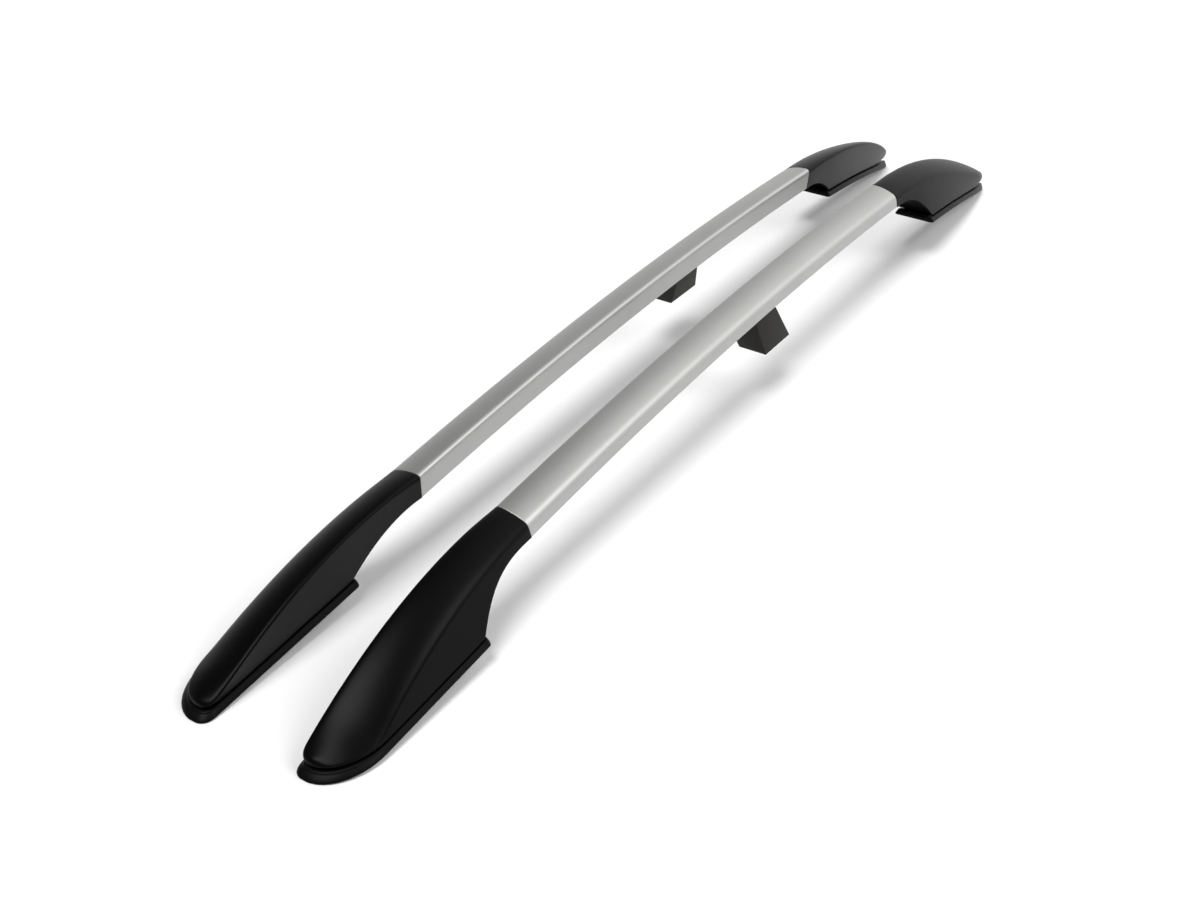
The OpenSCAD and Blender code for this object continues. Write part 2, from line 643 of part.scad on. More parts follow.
module bracket(rear) {
    color([0.55, 0.56, 0.58]) difference() {
        union() {
            joint_frame(rear) {
                translate([-spigot_len, 0, -spigot_drop])
                    along(spigot_len) spigot_profile(rail_wall + spigot_gap);
                translate([-1, 0, 0]) along(neck_len) spigot_profile(neck_inset);
            }
            riser(rear);
            plate_frame(rear) {
                translate([-plate_len / 2, -plate_w / 2, seat_h]) cube([plate_len, plate_w, plate_t]);
                translate([boss_x, 0, seat_h]) cylinder(r = boss_r, h = plate_t + boss_h, $fn = 48);
            }
        }
        plate_frame(rear) {
            translate([boss_x, 0, seat_h - 1])
                cylinder(r = insert_r + 0.05, h = insert_len + 1, $fn = 48);
            for (p = post_at) translate([p[0], p[1], seat_h - 1])
                cylinder(r = shell_screw_r + screw_gap, h = plate_t + 2, $fn = 32);
        }
        joint_frame(rear) for (x = rail_screw_x) translate([x, 0, 0]) square_to_underside()
            translate([0, 0, channel_top]) cylinder(r = rail_screw_r + screw_gap, h = inner_h, $fn = 32);
    }
}

// Steel bush with a through thread, drawn as a plain bore of the tapping size
module insert(rear) {
    color([0.7, 0.7, 0.68]) plate_frame(rear) translate([boss_x, 0, seat_h]) difference() {
        cylinder(r = insert_r, h = insert_len, $fn = 48);
        translate([0, 0, -1]) cylinder(r = insert_bore_r, h = insert_len + 2, $fn = 48);
    }
}

// A screw with a round head, a hexagon socket below and its shank along +Z
module screw(shank_r, length, head_r, head_h, socket_r) {
    difference() {
        union() {
            translate([0, 0, -head_h]) cylinder(r = head_r, h = head_h, $fn = 40);
            cylinder(r = shank_r, h = length - 0.6, $fn = 32);
            translate([0, 0, length - 0.6]) cylinder(r1 = shank_r, r2 = shank_r - 0.5, h = 0.6, $fn = 32);
        }
        translate([0, 0, -head_h - 1]) cylinder(r = socket_r, h = head_h * 0.6 + 1, $fn = 6);
    }
}

// Screws that hold the rail on the spigot from inside the channel
rail_screw_len = 9;
rail_screw_head_h = 2.6;
rail_socket_r = 1.6;
rail_screw_drop = 0.15;
module rail_screws(rear) {
    color([0.6, 0.6, 0.58]) joint_frame(rear) for (x = rail_screw_x) translate([x, 0, 0])
        square_to_underside() translate([0, 0, channel_top - rail_screw_drop])
            screw(rail_screw_r, rail_screw_len, rail_screw_head_r, rail_screw_head_h, rail_socket_r);
}

// Screws from below through the base plate into the shell's posts
shell_screw_head_h = 3;
shell_socket_r = 1.4;
module shell_screws(rear) {
    color([0.6, 0.6, 0.58]) plate_frame(rear) for (p = post_at) translate([p[0], p[1], seat_h])
        screw(shell_screw_r, shell_screw_len, shell_screw_head_r, shell_screw_head_h, shell_socket_r);
}

// Support block: a rubber wedge whose top lies against the rail's underside and whose base stands
// forward and outward of it. Corners are [along, across, up] with the rail at v = 0
function block_top(x, v) = [x, v, under_z(x) - under_slant * (rail_w / 2 - v) - block_gap];
module block_body(x0) {
    xm = x0 + block_top_len / 2;
    low = under_z(xm) - block_h - under_drop / 2;
    b0 = x0 + block_rake;
    b1 = b0 + block_base_len;
    x1 = x0 + block_top_len;
    w = rail_w / 2;
    points = [[b0, -block_base_in, low], [b1, -block_base_in, low], [b1, block_base_out, low],
        [b0, block_base_out, low], block_top(x0, -w), block_top(x1, -w), block_top(x1, w),
        block_top(x0, w)];
    polyhedron(points = points, faces = [[0, 1, 2, 3], [4, 7, 6], [4, 6, 5], [0, 4, 1], [4, 5, 1],
        [1, 5, 2], [5, 6, 2], [2, 6, 3], [6, 7, 3], [3, 7, 0], [7, 4, 0]]);
}

module block_screw_frame(x0) {
    rail_frame(x0 + block_top_len / 2 + 4) square_to_underside() children();
}

nut_t = 4;
nut_len = 24;
nut_side_gap = 0.5;
nut_drop_gap = 0.15;
block_screw_head_h = 5;
block_socket_r = 2.4;
block_hole_gap = 1.2;
block_screw_len = block_seat_t + block_gap + lip_t + nut_t - 0.5;
module support_block(x0) {
    color([0.12, 0.12, 0.1]) difference() {
        block_body(x0);
        block_screw_frame(x0) {
            translate([0, 0, -block_seat_t - 1])
                cylinder(r = block_screw_r + screw_gap, h = 2 * block_seat_t, $fn = 32);
            translate([0, 0, -block_seat_t - 2 * block_h])
                cylinder(r = block_screw_head_r + block_hole_gap, h = 2 * block_h, $fn = 40);
        }
    }
}

module block_screw(x0) {
    color([0.6, 0.6, 0.58]) block_screw_frame(x0) translate([0, 0, -block_seat_t])
        screw(block_screw_r, block_screw_len, block_screw_head_r, block_screw_head_h, block_socket_r);
}

// Channel nut: a flat steel plate that slides in the channel and rests on its lips
module channel_nut(x0) {
    color([0.6, 0.6, 0.58]) block_screw_frame(x0) difference() {
        translate([-nut_len / 2, -channel_w / 2 + nut_side_gap, lip_t + nut_drop_gap])
            cube([nut_len, channel_w - 2 * nut_side_gap, nut_t]);
        translate([0, 0, -1]) cylinder(r = block_screw_r + screw_gap, h = 5 * nut_t, $fn = 32);
    }
}

module on_rail(left) {
    translate([0, (left ? 1 : -1) * rail_spacing / 2, 0]) on_side(left) children();
}

on_rail(true) rail();  // left_rail
on_rail(false) rail();  // right_rail
place_foot(true) shell(true);  // left_rear_shell
place_foot(false) shell(false);  // left_front_shell
on_side(false) place_foot(true) shell(true);  // right_rear_shell
on_side(false) place_foot(false) shell(false);  // right_front_shell
place_foot(true) pad(true);  // left_rear_pad
place_foot(false) pad(false);  // left_front_pad
on_side(false) place_foot(true) pad(true);  // right_rear_pad
on_side(false) place_foot(false) pad(false);  // right_front_pad
place_foot(true) bracket(true);  // left_rear_bracket
place_foot(false) bracket(false);  // left_front_bracket
on_side(false) place_foot(true) bracket(true);  // right_rear_bracket
on_side(false) place_foot(false) bracket(false);  // right_front_bracket
place_foot(true) insert(true);  // left_rear_insert
place_foot(false) insert(false);  // left_front_insert
on_side(false) place_foot(true) insert(true);  // right_rear_insert
on_side(false) place_foot(false) insert(false);  // right_front_insert
place_foot(true) rail_screws(true);  // left_rear_rail_screws
place_foot(false) rail_screws(false);  // left_front_rail_screws
on_side(false) place_foot(true) rail_screws(true);  // right_rear_rail_screws
on_side(false) place_foot(false) rail_screws(false);  // right_front_rail_screws
place_foot(true) shell_screws(true);  // left_rear_shell_screws
place_foot(false) shell_screws(false);  // left_front_shell_screws
on_side(false) place_foot(true) shell_screws(true);  // right_rear_shell_screws
on_side(false) place_foot(false) shell_screws(false);  // right_front_shell_screws
on_rail(true) support_block(rear_joint_x + left_block_x);  // left_support_block
on_rail(false) support_block(rear_joint_x + right_block_x);  // right_support_block
on_rail(true) channel_nut(rear_joint_x + left_block_x);  // left_channel_nut
on_rail(false) channel_nut(rear_joint_x + right_block_x);  // right_channel_nut
on_rail(true) block_screw(rear_joint_x + left_block_x);  // left_block_screw
on_rail(false) block_screw(rear_joint_x + right_block_x);  // right_block_screw
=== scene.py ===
"""Dresses a pair of roof side rails: satin aluminium rails, moulded feet, rubber pads and blocks."""

import bpy
import numpy as np
from mathutils import Matrix, Vector


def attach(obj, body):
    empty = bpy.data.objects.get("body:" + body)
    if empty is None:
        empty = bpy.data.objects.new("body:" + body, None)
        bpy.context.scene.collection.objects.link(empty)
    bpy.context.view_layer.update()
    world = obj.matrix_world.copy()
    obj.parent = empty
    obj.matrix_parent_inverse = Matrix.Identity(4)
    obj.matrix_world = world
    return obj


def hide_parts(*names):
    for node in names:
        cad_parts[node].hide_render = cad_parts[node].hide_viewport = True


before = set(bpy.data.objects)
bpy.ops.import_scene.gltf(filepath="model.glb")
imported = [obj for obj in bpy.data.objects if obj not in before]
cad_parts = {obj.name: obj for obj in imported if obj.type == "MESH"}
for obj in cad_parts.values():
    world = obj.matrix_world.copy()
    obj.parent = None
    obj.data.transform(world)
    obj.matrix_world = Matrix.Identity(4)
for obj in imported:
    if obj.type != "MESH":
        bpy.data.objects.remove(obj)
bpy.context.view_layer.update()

# Camera: it stands behind the rails on their right, a little over a metre above the floor, and
# looks forward and down along them, as in the photograph. Its axes are right, up and forward.
MM = 0.001
camera_place = (-1.68586, -0.92913, 1.12249)
camera_right = (0.544865, -0.838496, 0.006832)
camera_up = (0.455632, 0.302895, 0.837051)
camera_forward = (0.703933, 0.452967, -0.547082)
camera_data = bpy.data.cameras.new("camera")
camera_data.lens = 45.315
camera_data.sensor_width = 36
camera = bpy.data.objects.new("camera", camera_data)
camera_axes = np.array([camera_right, camera_up, [-a for a in camera_forward]]).T
camera.matrix_world = Matrix.Translation(camera_place) @ Matrix(camera_axes.tolist()).to_4x4()
bpy.context.scene.collection.objects.link(camera)
bpy.context.scene.camera = camera


# Rails: extruded aluminium, bowed along its length, satin clear anodised. The outer side is low
# and the inner side tall, with a crowned top between them and a T slot along the underside.
def linear(code):
    """Colour for a shader: each channel c becomes ((c + 0.055) / 1.055) to the power 2.4."""
    c = np.array([int(code[i:i + 2], 16) for i in (1, 3, 5)]) / 255
    c = np.where(c <= 0.04045, c / 12.92, ((c + 0.055) / 1.055) ** 2.4)
    return (*c.tolist(), 1.0)


def add_node(tree, kind, links=(), **settings):
    """Adds a node, sets its properties or its sockets by name, and joins each (output, socket)."""
    made = tree.nodes.new(kind)
    for key, value in settings.items():
        socket = key.replace("_", " ")
        if socket in made.inputs:
            made.inputs[socket].default_value = value
        else:
            setattr(made, key, value)
    for output, socket in links:
        tree.links.new(output, made.inputs[socket])
    return made


def new_material(name):
    """An empty material, with its output node and its Object coordinates."""
    made = bpy.data.materials.new(name)
    made.use_nodes = True
    made.node_tree.nodes.clear()
    output = made.node_tree.nodes.new("ShaderNodeOutputMaterial")
    place = made.node_tree.nodes.new("ShaderNodeTexCoord").outputs["Object"]
    return made, made.node_tree, output, place


# Anodised aluminium: extruded, brushed faintly along its length, then satin etched. The eye sees
# a pale neutral metal with a wide soft highlight along each rounded corner
aluminium, tree, output, place = new_material("satin_anodised_aluminium")
along = add_node(tree, "ShaderNodeMapping", [(place, "Vector")], Scale=(6, 900, 900))
lines = add_node(tree, "ShaderNodeTexNoise", [(along.outputs[0], "Vector")], Scale=1.0, Detail=3.0)
cloud = add_node(tree, "ShaderNodeTexNoise", [(place, "Vector")], Scale=9.0, Detail=2.0)
tone = add_node(tree, "ShaderNodeValToRGB", [(cloud.outputs["Fac"], "Fac")])
tone.color_ramp.elements[0].color = linear("#B0B1AE")
tone.color_ramp.elements[1].color = linear("#B9BAB7")
gloss = add_node(tree, "ShaderNodeMapRange", [(lines.outputs["Fac"], "Value")],
    To_Min=0.42, To_Max=0.50)
bump = add_node(tree, "ShaderNodeBump", [(lines.outputs["Fac"], "Height")],
    Strength=0.08, Distance=0.0002)
metal = add_node(tree, "ShaderNodeBsdfPrincipled", [(tone.outputs[0], "Base Color"),
    (gloss.outputs[0], "Roughness"), (bump.outputs[0], "Normal")], Metallic=1.0)
tree.links.new(metal.outputs[0], output.inputs["Surface"])

rail_spacing = 162.0
rail_len = 1024.0
rail_w = 48.0
outer_h = 18.0
inner_h = 28.0
under_drop = 7.0
slot_chamfer = 0.4
end_chamfer = 0.35
ridge_inset = 4.0
shoulder_out = 2.5
crown = 2.5
shoulder_r = 8.0
edge_r = 1.6
bow_r = 7430.0
rear_slope = np.radians(5.84)
slot_w = 9.0
channel_w = 16.0
lip_t = 2.4
channel_top = 7.9
rear_joint = dict(x=-548.0, z=91.7)
apex_x = rear_joint["x"] + bow_r * np.sin(rear_slope)
apex_z = rear_joint["z"] + bow_r * (1 - np.cos(rear_slope))
front_joint_x = rear_joint["x"] + rail_len
front_slope = np.arcsin((front_joint_x - apex_x) / bow_r)
ridge_v0 = rail_w / 2 - ridge_inset
shoulder_v0 = -rail_w / 2 - shoulder_out


def lerp(a, b, t):
    """Point at the share t of the way from a to b."""
    return a + (b - a) * t


def rounded(a, p, b, r, count):
    """Corner p of the path a, p, b, rounded by the curve (1-t)^2 q0 + 2t(1-t) p + t^2 q2, where q0
    and q2 lie at the distances in r from p along each side, or at 0.45 of a shorter side. The
    points may be arrays of points, with the coordinates last."""
    t = np.linspace(0, 1, count + 1)[:, None]
    def touch(end, reach):
        d = np.linalg.norm(end - p, axis=-1, keepdims=True)
        return p + (end - p) / np.maximum(d, 1e-6) * np.minimum(reach, 0.45 * d)
    q0, q2 = touch(a, r[0])[..., None, :], touch(b, r[1])[..., None, :]
    return (1 - t) ** 2 * q0 + 2 * t * (1 - t) * p[..., None, :] + t ** 2 * q2


def over_the_top(low_out, ridge, shoulder, low_in, rise, wall_r, crown_r, low_r, count):
    """Section from the lower outer edge over ridge, crown and shoulder to the lower inner edge.
    The crown is a parabola that peaks at the height rise over the line from ridge to shoulder."""
    low = (low_r, low_r)
    top = (ridge + shoulder) / 2 + np.array([0, 2 * rise])
    parts = [rounded(low_in, low_out, ridge, low, 4),
        rounded(low_out, ridge, top, (wall_r, crown_r), count)]
    late = rounded(top, shoulder, low_in, (crown_r, wall_r), count)
    t = np.linspace(0, 1, 14)[1:-1, None]
    p, q = parts[1][..., -1:, :], late[..., :1, :]
    arch = (1 - t) ** 2 * p + 2 * t * (1 - t) * top[..., None, :] + t ** 2 * q
    end = rounded(shoulder, low_in, low_out, low, 4)
    share = np.array([0.03, 0.2, 0.4, 0.6, 0.8, 0.97])[:, None]
    rise_out = lerp(parts[0][..., -1:, :], parts[1][..., :1, :], share)
    fall_in = lerp(late[..., -1:, :], end[..., :1, :], share)
    return np.concatenate([parts[0], rise_out, parts[1], arch, late, fall_in, end], axis=-2)


def grid_faces(rows, columns, closed):
    """Quads between neighbouring rows of a grid of points, and round each row if it is closed."""
    i = np.arange(rows - 1)[:, None] * columns
    j = np.arange(columns if closed else columns - 1)[None, :]
    k = (j + 1) % columns
    return np.stack([i + j, i + columns + j, i + columns + k, i + k], axis=-1).reshape(-1, 4)


def make_piece(name, points, faces, material, sharp_angle=32):
    """Object at the origin from points in millimetres and a list of faces, turned outwards, shaded
    smooth apart from edges sharper than an angle in degrees."""
    mesh = bpy.data.meshes.new(name)
    mesh.from_pydata((np.asarray(points) * MM).tolist(), [], [list(map(int, f)) for f in faces])
    mesh.update()
    piece = bpy.data.objects.new(name, mesh)
    bpy.context.scene.collection.objects.link(piece)
    bpy.ops.object.select_all(action="DESELECT")
    piece.select_set(True)
    bpy.context.view_layer.objects.active = piece
    bpy.ops.object.mode_set(mode="EDIT")
    bpy.ops.mesh.select_all(action="SELECT")
    bpy.ops.mesh.remove_doubles(threshold=0.00001)
    bpy.ops.mesh.normals_make_consistent(inside=False)
    bpy.ops.object.mode_set(mode="OBJECT")
    mesh.polygons.foreach_set("use_smooth", np.ones(len(mesh.polygons), bool))
    mesh.set_sharp_from_angle(angle=np.radians(sharp_angle))
    mesh.materials.append(material)
    return piece


def rail_outline():
    """Closed section: the outside, then the T slot cut up into the underside."""
    corners = [np.array(c, float) for c in ((rail_w / 2, 0), (ridge_v0, outer_h),
        (shoulder_v0, inner_h), (-rail_w / 2, -under_drop))]
    outside = over_the_top(*corners, crown, shoulder_r, shoulder_r, edge_r, 12)
    tilt = np.arctan(under_drop / rail_w)
    turn = np.array([[np.cos(tilt), np.sin(tilt)], [-np.sin(tilt), np.cos(tilt)]])
    s, c = slot_w / 2, channel_w / 2
    e = slot_chamfer
    slot = np.array([(-s - e, 0), (-s, e), (-s, lip_t), (-c, lip_t), (-c, channel_top),
        (c, channel_top), (c, lip_t), (s, lip_t), (s, e), (s + e, 0)])
    return np.concatenate([outside, slot @ turn + [0, -under_drop / 2]])


outline = rail_outline()
middle = outline.mean(axis=0)
end_steps = np.array([0, end_chamfer, 1.2]) / bow_r
angle = np.concatenate([-rear_slope + end_steps, np.linspace(-rear_slope, front_slope, 161)[1:-1],
    front_slope - end_steps[::-1]])
inset = np.zeros(len(angle))
inset[[0, -1]] = end_chamfer
size = np.abs(outline - middle).max(axis=0)
shrunk = outline[None] - (outline - middle)[None] / size * inset[:, None, None]
reach = bow_r + shrunk[..., 1]
rail_points = np.stack([apex_x + reach * np.sin(angle)[:, None], shrunk[..., 0],
    apex_z - bow_r + reach * np.cos(angle)[:, None]], axis=-1)
rows, columns = rail_points.shape[:2]
rail_faces = grid_faces(rows, columns, True).tolist()
rail_faces += [list(range(columns)), list(range((rows - 1) * columns, rows * columns))]
for side, sign in (("left", 1), ("right", -1)):
    placed = (rail_points.reshape(-1, 3) + [0, rail_spacing / 2, 0]) * [1, sign, 1]
    rail = make_piece(side + "_rail_bar", placed, rail_faces, aluminium)
    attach(rail, "root")
    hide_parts(side + "_rail")


# Shells: injection moulded black ABS feet with a fine spark grain. Each one carries on from the
# rail's section, its ridge runs out into the lower edge, and its inner end is an arch with a rim.
rear = dict(name="rear", length=370.0, corner=114.0, rise=24.5, bow=0.0, lift=2.0, nose_v=-2.0,
    slope=np.tan(rear_slope), joint_z=rear_joint["z"], joint_x=rear_joint["x"], way=-1,
    ridge_start=0.04, ridge_end=0.565, shoulder_start=-0.035, shoulder_end=0.64, shoulder_in=20.0,
    run_out=72.0, run_in=19.0, power_out=2.0, power_in=2.4, shoulder_power=2.4, tip_extra=1.0,
    ridge_run=62.0, fall_run=62.0, turn=2.2, tip_back=0.0, tip_rise=0.0)
front = dict(name="front", length=442.0, corner=105.0, rise=64.5, bow=9.0, lift=14.5, nose_v=16.0,
    slope=np.tan(front_slope), joint_z=apex_z - bow_r * (1 - np.cos(front_slope)),
    joint_x=front_joint_x, way=1,
    ridge_start=0.005, ridge_end=0.5, shoulder_start=0.013, shoulder_end=0.65, shoulder_in=23.0,
    run_out=337.0, run_in=337.0, power_out=1.6, power_in=1.53, shoulder_power=1.7, tip_extra=5.5,
    ridge_run=48.0, fall_run=13.0, turn=2.5, tip_back=3.0, tip_rise=3.0)
shell_wall = 3.0
shell_out = 45.0
shell_in = 15.5
tip_edge = 2.6
corner_ledge = 7.0
pad_ledge = 4.5
tip_ledge = 10.5
lip_in = 0.9
pad_h = 7.5
shadow_gap = 4.0
plinth_inset = 4.2
cavity_end = 26.0
blunt = 0.3
waist = (10.0, 6.5)
lean_run = 60.0
low_edge_r = 0.8


def pad_share(foot, x):
    """Share of the way from the pad's inner corner to the tip of its underside."""
    return (x - foot["corner"]) / (foot["length"] - lip_in * tip_ledge / pad_ledge - foot["corner"])


def base_z(foot, x):
    """Underside of the pad: a straight fall from corner to tip, raised by the parabola 4 b u (1-u)."""
    u = pad_share(foot, x)
    return foot["rise"] * (1 - u) + 4 * foot["bow"] * u * (1 - u)


def lower_z(foot, x):
    """Lower edge of the shell: pad, gap, and a lift that grows with the sixth power to the tip."""
    return base_z(foot, x) + pad_h + shadow_gap + foot["lift"] * np.maximum(0, pad_share(foot, x)) ** 6


def taper(s, power):
    """Superellipse: (1 - s^p)^(1/p), which is 1 at s = 0 and 0 at s = 1."""
    return np.maximum(0, 1 - np.clip(s, 0, 1) ** power) ** (1 / power)


def tip_x(foot, inset):
    """Tip of an outline that stands in from the shell's by the inset, or out where it is negative."""
    per = tip_ledge / pad_ledge if inset < 0 else (cavity_end + 2) / plinth_inset
    return foot["length"] - tip_ledge - inset * per


def side_out(foot, x, inset):
    """Outer side in plan: a straight side that runs into a superellipse round the nose."""
    s = 1 - (tip_x(foot, inset) + blunt - x) / foot["run_out"]
    return foot["nose_v"] + (shell_out - inset - foot["nose_v"]) * taper(s, foot["power_out"])


def side_in(foot, x, inset):
    """Inner side in plan, the same on the other side of the nose."""
    s = 1 - (tip_x(foot, inset) + blunt - x) / foot["run_in"]
    return foot["nose_v"] - (shell_in - inset + foot["nose_v"]) * taper(s, foot["power_in"])


def ease(x, x1, z0, s0, z1, s1):
    """Cubic from the height z0 with slope s0 at 0 to the height z1 with slope s1 at x1."""
    t = np.clip(x, 0, None) / x1
    return (z0 * (2 * t ** 3 - 3 * t ** 2 + 1) + z1 * (3 * t ** 2 - 2 * t ** 3)
        + x1 * (s0 * (t ** 3 - 2 * t ** 2 + t) + s1 * (t ** 3 - t ** 2)))


def soften(d, w):
    """The distance d kept above 0 by a soft turn of the width w: w log(1 + exp(d / w))."""
    return w * np.logaddexp(0, d / w)


def ridge_line(foot, x):
    """Ridge as (across, up): out from the rail's ridge with the power 1.5 until ridge_run before
    the tip, and down on a cubic until fall_run before it, with a soft turn onto the lower edge."""
    x1 = foot["length"] - foot["ridge_run"]
    end_v = side_out(foot, x1, 0)
    v = ridge_v0 + (end_v - ridge_v0) * (np.clip(x, 0, None) / x1) ** 1.5
    floor = lower_z(foot, x) + tip_edge
    x2 = foot["length"] - foot["fall_run"]
    z = ease(np.minimum(x, x2), x2, foot["joint_z"] + outer_h, -foot["ridge_start"],
        lower_z(foot, x2) + tip_edge, -foot["ridge_end"]) - foot["ridge_end"] * np.maximum(0, x - x2)
    limit = side_out(foot, x, 0)
    return np.stack([limit - soften(limit - v, 0.8), floor + soften(z - floor, foot["turn"])], axis=-1)


def shoulder_line(foot, x):
    """Inner shoulder as (across, up): straight in plan, then round the nose, and down on a cubic."""
    x1 = foot["length"] - tip_ledge
    straight = shoulder_v0 + (-foot["shoulder_in"] - shoulder_v0) * np.clip(x, 0, None) / x1
    s = 1 - (x1 + blunt - x) / foot["run_in"]
    v = foot["nose_v"] + (straight - foot["nose_v"]) * taper(s, foot["shoulder_power"])
    z = ease(x, x1, foot["joint_z"] + inner_h, -foot["shoulder_start"],
        lower_z(foot, x1) + tip_edge + foot["tip_rise"], -foot["shoulder_end"])
    return np.stack([v, z], axis=-1)


def edge_z(foot, x, v):
    """Lower edge of the shell: over the arch it falls from the rail's underside with a power that
    grows from 2.1 on the inner side to 3 on the outer side, and past the corner it is lower_z."""
    x1 = foot["corner"] + corner_ledge
    start = foot["joint_z"] - under_drop / rail_w * (rail_w / 2 - v)
    power = 2.1 + 0.9 * (v / rail_w + 0.5)
    arch = start - (start - lower_z(foot, x1)) * (np.clip(x, 0, x1) / x1) ** power
    return np.where(x < x1, arch, lower_z(foot, x))


def wall_point(foot, x, top, low_v, floor):
    """Point of a side wall at the height floor, on the line from its top to its foot's outline."""
    low = lower_z(foot, x)
    v = top[:, 0] + (low_v - top[:, 0]) * (top[:, 1] - floor) / np.maximum(0.1, top[:, 1] - low)
    return np.stack([v, floor], axis=-1)


wall_tighter = 2.5
crown_wider = 8.0


def shell_rings(foot, x, inset, extra_floor, count):
    """Rings of the shell at the places x, drawn inside it by the inset. The first ones lean with
    the rail's end and have its roundings; over lean_run the lean goes, the walls' side of each
    rounding gets tighter and the crown's side wider. Returned as (ring, point, [x, v, z])."""
    x1 = foot["corner"] + corner_ledge
    u = np.clip(x, 0, x1) / x1
    low_o = side_out(foot, x, 0) - waist[0] * (1 - u) ** 2 - inset
    low_i = side_in(foot, x, 0) - waist[1] * (1 - u) ** 2 + inset
    ridge = ridge_line(foot, x) - [inset, inset * 1.15]
    shoulder = shoulder_line(foot, x) + [inset, -inset * 1.1]
    out = wall_point(foot, x, ridge, low_o, edge_z(foot, x, rail_w / 2) + extra_floor)
    inn = wall_point(foot, x, shoulder, low_i, edge_z(foot, x, -rail_w / 2) + extra_floor)
    fade = np.clip(x / lean_run, 0, 1)[:, None]
    wall_r = shoulder_r - wall_tighter * fade - inset / 2
    crown_r = shoulder_r + crown_wider * fade - inset / 2
    ring = over_the_top(out, ridge, shoulder, inn, crown, wall_r, crown_r, low_edge_r, count)
    lean = foot["slope"] * np.clip(1 - np.maximum(0, x) / lean_run, 0, 1)
    along = x[:, None] + (ring[..., 1] - foot["joint_z"]) * lean[:, None]
    return np.stack([along, ring[..., 0], ring[..., 1]], axis=-1)


def to_car(points, foot, side):
    """From a foot's own frame to the car's: its X turns for the rear foot, its Y for the right side."""
    p = np.asarray(points).reshape(-1, 3)
    return np.stack([foot["joint_x"] + foot["way"] * p[:, 0],
        side * (rail_spacing / 2 + p[:, 1]), p[:, 2]], axis=-1)


web_inset = 1.8
web_up = 10.0
web_t = 2.4
nose_len = 6.0
nose_low = 0.4
mouth_shrink = 0.012
rim_profile = ((1.0, 0.3), (4.2, 0.1), (5.6, 0.8), (6.0, 2.2), (5.4, 3.8), (1.0, 5.0))


def shell_mesh(foot):
    """Outer skin and inner skin on grids of equal size, joined by a rim along the lower edge, a
    ring at the mouth and a cap each at the tip, where the top drops on a quarter ellipse over
    nose_len. Then the web under the arch, a thin closed plate, and a rolled rim in each side."""
    x1 = foot["corner"] + corner_ledge
    tip = foot["length"] - tip_ledge - foot["tip_back"]
    late = x1 + (tip - x1) * np.sin(np.pi / 2 * np.linspace(0, 1, 90))
    outer_x = np.concatenate([[0.3, 0.8], np.linspace(4, x1, 40)[:-1], late])
    inner_late = x1 + (tip - shell_wall - 2 - x1) * np.sin(np.pi / 2 * np.linspace(0, 1, 90))
    inner_x = np.concatenate([[0.3, 0.8], np.linspace(4, x1, 40)[:-1], inner_late])
    outer = shell_rings(foot, outer_x, 0, 0, 14)
    outer[0] += (outer[0].mean(axis=0) - outer[0]) * mouth_shrink
    nose = np.clip((outer_x - tip + nose_len) / nose_len, 0, 1)
    keep = nose_low + (1 - nose_low) * np.sqrt(1 - nose ** 2)
    low = lower_z(foot, outer_x)[:, None]
    outer[..., 2] = low + (outer[..., 2] - low) * keep[:, None]
    inner = shell_rings(foot, inner_x, shell_wall, 0, 14)
    rows, columns = outer.shape[:2]
    skin = grid_faces(rows, columns, False)
    count = rows * columns
    faces = skin.tolist() + (skin + count)[:, ::-1].tolist()
    i = np.arange(rows - 1) * columns
    for edge in (0, columns - 1):
        a = i + edge
        faces += np.stack([a, a + columns, a + columns + count, a + count], axis=-1).tolist()
    j = np.arange(columns - 1)
    faces += np.stack([j, j + 1, j + 1 + count, j + count], axis=-1).tolist()
    last = (rows - 1) * columns
    for start in (last, last + count):
        faces.append(list(range(start, start + columns)))
    a = last
    faces.append([a, a + columns - 1, a + columns - 1 + count, a + count])
    points = [outer.reshape(-1, 3), inner.reshape(-1, 3)]

    web_x = np.linspace(0.6, x1 - 0.4, 40)
    edge = 1 - (web_x / x1) ** 4
    u = web_x / x1
    foot_v = (side_out(foot, web_x, 0) - waist[0] * (1 - u) ** 2,
        side_in(foot, web_x, 0) - waist[1] * (1 - u) ** 2)
    tops = (ridge_line(foot, web_x), shoulder_line(foot, web_x))

    def in_wall(side, inward, up):
        """Points along one side wall, set in from its outside and up from the arch's edge."""
        shift = inward if side == 1 else -inward
        floor = edge_z(foot, web_x, (0.5 - side) * rail_w) + up * (0.15 + 0.85 * edge)
        return np.column_stack([web_x, wall_point(foot, web_x, tops[side] + [shift, 0],
            foot_v[side] + shift, floor)])

    web = np.stack([in_wall(side, web_inset, up) for side, up in ((0, web_up), (1, web_up),
        (1, web_up + web_t), (0, web_up + web_t))], axis=1)
    rims = [np.stack([in_wall(side, *p) for p in rim_profile], axis=1) for side in (0, 1)]
    start = 2 * count
    for strip in (web, *rims):
        strip_rows, strip_columns = strip.shape[:2]
        faces += (grid_faces(strip_rows, strip_columns, True) + start).tolist()
        faces.append([start + k for k in range(strip_columns)])
        faces.append([start + (strip_rows - 1) * strip_columns + k for k in range(strip_columns)])
        start += strip_rows * strip_columns
        points.append(strip.reshape(-1, 3))
    return np.concatenate(points), faces


